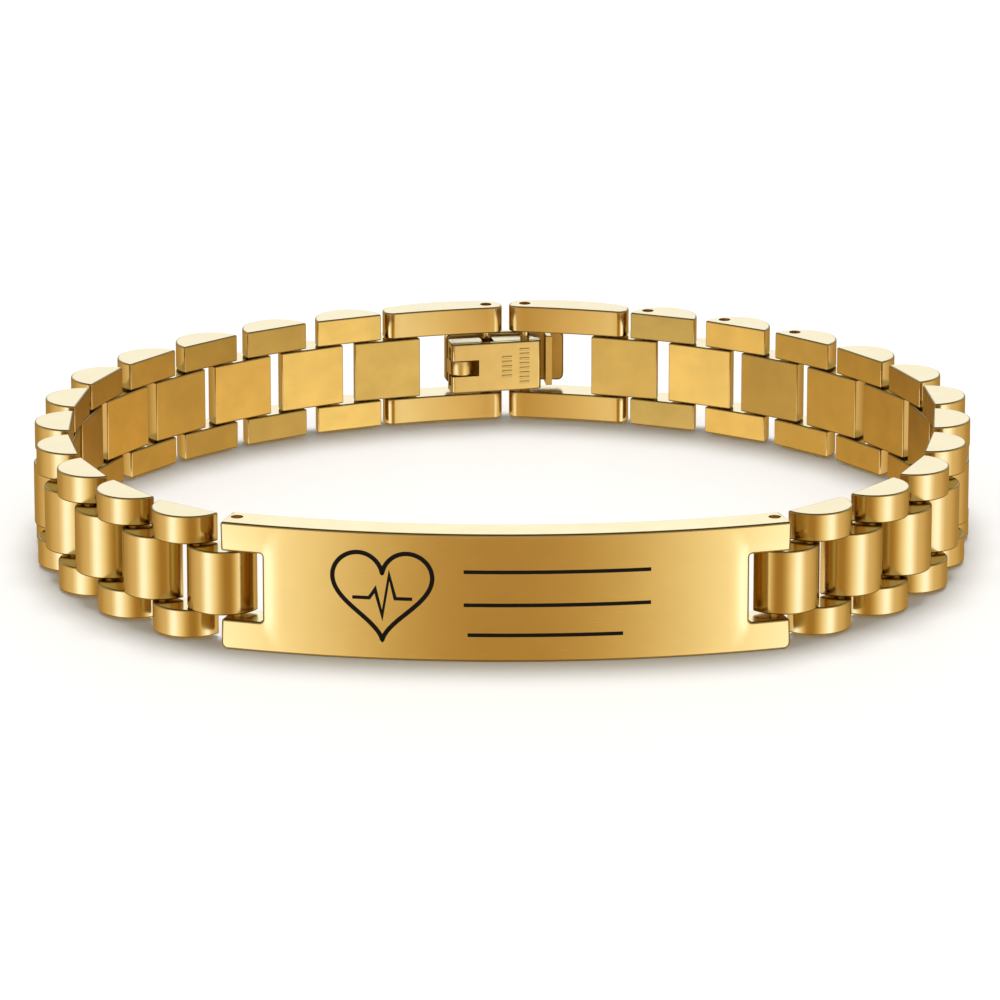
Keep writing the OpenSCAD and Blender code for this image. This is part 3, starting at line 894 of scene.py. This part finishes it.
through_levels = [(0, -OVERSHOOT), (0, LEAF_HIGH + OVERSHOOT)]
leaf_flanges = worked(leaf_flanges, prism("hook", hook_slot, through_levels), "DIFFERENCE")
strap = prism(
    "strap", box_outline(-LEAF_LEFT, SHEET - LEAF_LEFT, 0, FLANGE_OUT - FLANGE_CORNER),
    soft_levels(STRAP_SHORT, LEAF_HIGH - STRAP_SHORT, STRAP_RIM),
)
tongue_left = TONGUE_AT[0] - TONGUE_CURL
tongue_outline = np.vstack([
    [(tongue_left, FLANGE_OUT - FLANGE_CORNER)],
    rounded(TONGUE_AT, TONGUE_CURL, 180, TONGUE_END, count=29)[:, :2],
    rounded(TONGUE_AT, TONGUE_CURL - TONGUE_THICK, TONGUE_END, 180, count=29)[:, :2],
    [(tongue_left + TONGUE_THICK, FLANGE_OUT - FLANGE_CORNER)],
])
tongue_levels = soft_levels((LEAF_HIGH - TONGUE_HIGH) / 2, (LEAF_HIGH + TONGUE_HIGH) / 2, TONGUE_RIM)
tongue = prism("tongue", tongue_outline, tongue_levels)
leaf_mesh = leaf_sheet
for addition in (leaf_flanges, strap, tongue):
    leaf_mesh = worked(leaf_mesh, addition, "UNION")
leaf_bore = prism("bore", circle(0, 0, BORE_RADIUS), through_levels)
leaf_mesh = joined("leaf", [worked(leaf_mesh, leaf_bore, "DIFFERENCE"), grip_ribs()])
clasp_angle = math.atan2(clasp_along[1], clasp_along[0]) + LEAF_TILT
leaf_along = (math.cos(clasp_angle), math.sin(clasp_angle), 0)
leaf_out = (-math.sin(clasp_angle), math.cos(clasp_angle), 0)
finished(
    "folding_leaf", moved(leaf_mesh, leaf_along, leaf_out, (hinge.x, hinge.y, leaf_low)),
    [clasp_polish, clasp_satin], "clasp_leaf", "clasp_leaf", outward=leaf_out,
)

# Studio. The band stands on a white floor in a white room. Polished gold mirrors what is round it,
# so gold alone sees a warm room: brown behind the band, paler towards the camera, with a pale
# ceiling and a dark patch straight overhead.
FLOOR_HALF = 1.5
FLOOR_WHITE = (0.9, 0.9, 0.9)


def board(name, corners):
    """A flat board with the given corners, placed in the scene."""
    mesh = bpy.data.meshes.new(name)
    mesh.from_pydata(corners, [], [(0, 1, 2, 3)])
    return placed(name, mesh)


floor = board("floor", [
    (-FLOOR_HALF, -FLOOR_HALF, 0), (FLOOR_HALF, -FLOOR_HALF, 0),
    (FLOOR_HALF, FLOOR_HALF, 0), (-FLOOR_HALF, FLOOR_HALF, 0),
])
floor_white = bpy.data.materials.new("floor_white")
floor_white.use_nodes = True
floor_shader = floor_white.node_tree.nodes["Principled BSDF"]
floor_shader.inputs["Base Color"].default_value = (*FLOOR_WHITE, 1)
floor_shader.inputs["Roughness"].default_value = 0.6
floor.data.materials.append(floor_white)
floor.visible_glossy = False
floor.visible_shadow = False

# Card. A long upright card stands in front of the band and mostly below its level, where upright
# gold seen from above mirrors it. It is dim in the middle and grows bright to both sides.
CARD_Y = -130 * mm
CARD_HALF = 400 * mm
CARD_LOW = -400 * mm
CARD_HIGH = 20 * mm
# Distance from the card's middle, and the light there
CARD_LIGHT = [
    (0 * mm, (0.385, 0.235, 0.062)), (18 * mm, (0.405, 0.255, 0.070)), (30 * mm, (0.52, 0.37, 0.127)),
    (41 * mm, (0.61, 0.47, 0.21)), (55 * mm, (0.80, 0.68, 0.42)), (65 * mm, (0.92, 0.83, 0.60)),
    (78 * mm, (1.04, 1.01, 0.82)), (97 * mm, (1.14, 1.22, 1.25)), (114 * mm, (1.24, 1.45, 1.90)),
    (140 * mm, (1.32, 1.58, 2.10)), (185 * mm, (1.24, 1.45, 1.90)), (235 * mm, (1.05, 1.02, 0.90)),
    (CARD_HALF, (0.82, 0.71, 0.50)),
]
# Light that the full strength of a ramp stands for, because a ramp's own colours end at one
BRIGHTEST = 2.2
# What is left of the light in gold that is itself seen in gold
SECOND_MIRROR = (0.40, 0.39, 0.27)


def light_beside(nodes, links, place, reach, stops):
    """The light at a place, alike on both sides of the middle. The distance from the middle, as a
    share of the reach, finds the light between two stops, each a distance and its light. The ramp
    holds the lights as parts of the brightest, and the product after it makes them full again."""
    aside = nodes.new("ShaderNodeMath")
    aside.operation = "ABSOLUTE"
    ramp = nodes.new("ShaderNodeValToRGB")
    marks = ramp.color_ramp.elements
    while len(marks) > 1:
        marks.remove(marks[-1])
    for number, (spot, light) in enumerate(stops):
        share = spot / stops[-1][0]
        mark = marks[0] if number == 0 else marks.new(share)
        mark.position = share
        mark.color = (*[value / BRIGHTEST for value in light], 1)
    stronger = nodes.new("ShaderNodeVectorMath")
    stronger.operation = "SCALE"
    stronger.inputs["Scale"].default_value = BRIGHTEST
    links.new(place, aside.inputs[0])
    links.new(ranged(nodes, links, aside.outputs["Value"], 0, reach), ramp.inputs["Fac"])
    links.new(ramp.outputs["Color"], stronger.inputs[0])
    return stronger.outputs["Vector"]


def dimmed(nodes, links, light):
    """The light as it is in a first reflection, and dim and warm in gold that is itself seen in gold.
    The node that tells the kinds of ray apart comes with it."""
    ray = nodes.new("ShaderNodeLightPath")
    fade = nodes.new("ShaderNodeMix")
    fade.data_type = "RGBA"
    fade.inputs["A"].default_value = (1, 1, 1, 1)
    fade.inputs["B"].default_value = (*SECOND_MIRROR, 1)
    product = nodes.new("ShaderNodeVectorMath")
    product.operation = "MULTIPLY"
    links.new(ranged(nodes, links, ray.outputs["Glossy Depth"], 1, 2), fade.inputs["Factor"])
    links.new(light, product.inputs[0])
    links.new(fade.outputs["Result"], product.inputs[1])
    return product.outputs["Vector"], ray


card = board("card", [
    (-CARD_HALF, CARD_Y, CARD_LOW), (CARD_HALF, CARD_Y, CARD_LOW),
    (CARD_HALF, CARD_Y, CARD_HIGH), (-CARD_HALF, CARD_Y, CARD_HIGH),
])
card_glow = bpy.data.materials.new("card_glow")
card_glow.use_nodes = True
nodes, links = card_glow.node_tree.nodes, card_glow.node_tree.links
nodes.clear()
spot = nodes.new("ShaderNodeTexCoord")
split = nodes.new("ShaderNodeSeparateXYZ")
glow = nodes.new("ShaderNodeEmission")
card_output = nodes.new("ShaderNodeOutputMaterial")
links.new(spot.outputs["Object"], split.inputs["Vector"])
card_light = light_beside(nodes, links, split.outputs["X"], CARD_HALF, CARD_LIGHT)
links.new(dimmed(nodes, links, card_light)[0], glow.inputs["Color"])
links.new(glow.outputs["Emission"], card_output.inputs["Surface"])
card_glow.cycles.emission_sampling = "NONE"
card.data.materials.append(card_glow)
card.visible_camera = False
card.visible_diffuse = False
card.visible_transmission = False
card.visible_shadow = False

# Key light. A broad soft light from high behind the band lays a short shadow on the floor in front
# of each piece.
KEY_RISE = 72
KEY_SPREAD = 32
KEY_POWER = 2.3
key_light = bpy.data.lights.new("key", "SUN")
key_light.angle = math.radians(KEY_SPREAD)
key_light.energy = KEY_POWER
key = placed("key", key_light)
key.rotation_euler = (math.radians(KEY_RISE - 90), 0, 0)
key.visible_glossy = False

# Room. Rays that leave gold see its walls, ceiling and dark patch, and all others see plain white.
# Heading from the camera's side, alike to the left and right, and the light that gold mirrors there
ROOM = [
    (0, (0.82, 0.71, 0.50)), (80, (0.78, 0.67, 0.45)), (100, (0.68, 0.55, 0.30)), (124, (0.50, 0.36, 0.14)),
    (150, (0.42, 0.28, 0.09)), (180, (0.38, 0.24, 0.07)),
]
CEILING = (1.12, 1.32, 1.60)
OVERHEAD = (0.16, 0.12, 0.045)
# Sines of the heights between which the walls turn into the ceiling, and the ceiling into the patch
CEILING_EDGE = (0.02, 0.25)
OVERHEAD_EDGE = (0.5, 0.66)
# Share of that light that gold throws on to the floor
FLOOR_GLEAM = 0.45
WHITE = (1, 0.95, 0.86)
WHITE_POWER = 0.57


def faded(nodes, links, share, first, final):
    """A colour that goes from the first, given by a socket, to the final one with the share."""
    mix = nodes.new("ShaderNodeMix")
    mix.data_type = "RGBA"
    mix.inputs["B"].default_value = (*final, 1)
    links.new(share, mix.inputs["Factor"])
    links.new(first, mix.inputs["A"])
    return mix.outputs["Result"]


room = bpy.data.worlds.new("room")
bpy.context.scene.world = room
room.use_nodes = True
room.cycles.sampling_method = "NONE"
nodes, links = room.node_tree.nodes, room.node_tree.links
nodes.clear()
where = nodes.new("ShaderNodeTexCoord")
split = nodes.new("ShaderNodeSeparateXYZ")
links.new(where.outputs["Generated"], split.inputs["Vector"])
nearer = nodes.new("ShaderNodeMath")
nearer.operation = "MULTIPLY"
nearer.inputs[1].default_value = -1
links.new(split.outputs["Y"], nearer.inputs[0])
heading = nodes.new("ShaderNodeMath")
heading.operation = "ARCTAN2"
links.new(split.outputs["X"], heading.inputs[0])
links.new(nearer.outputs["Value"], heading.inputs[1])
walls = light_beside(nodes, links, heading.outputs["Value"], math.pi, ROOM)
risen = ranged(nodes, links, split.outputs["Z"], *CEILING_EDGE, easing="SMOOTHSTEP")
ceiled = faded(nodes, links, risen, walls, CEILING)
high_up = ranged(nodes, links, split.outputs["Z"], *OVERHEAD_EDGE, easing="SMOOTHSTEP")
mirrored_light, ray = dimmed(nodes, links, faded(nodes, links, high_up, ceiled, OVERHEAD))
mirrored = nodes.new("ShaderNodeBackground")
links.new(mirrored_light, mirrored.inputs["Color"])
on_floor = ranged(nodes, links, ray.outputs["Diffuse Depth"], 0, 1, 1, FLOOR_GLEAM)
links.new(on_floor, mirrored.inputs["Strength"])
white = nodes.new("ShaderNodeBackground")
white.inputs["Color"].default_value = (*WHITE, 1)
white.inputs["Strength"].default_value = WHITE_POWER
either = nodes.new("ShaderNodeMixShader")
output = nodes.new("ShaderNodeOutputWorld")
links.new(ray.outputs["Is Glossy Ray"], either.inputs["Fac"])
links.new(white.outputs["Background"], either.inputs[1])
links.new(mirrored.outputs["Background"], either.inputs[2])
links.new(either.outputs["Shader"], output.inputs["Surface"])
bpy.context.scene.view_settings.view_transform = "Standard"
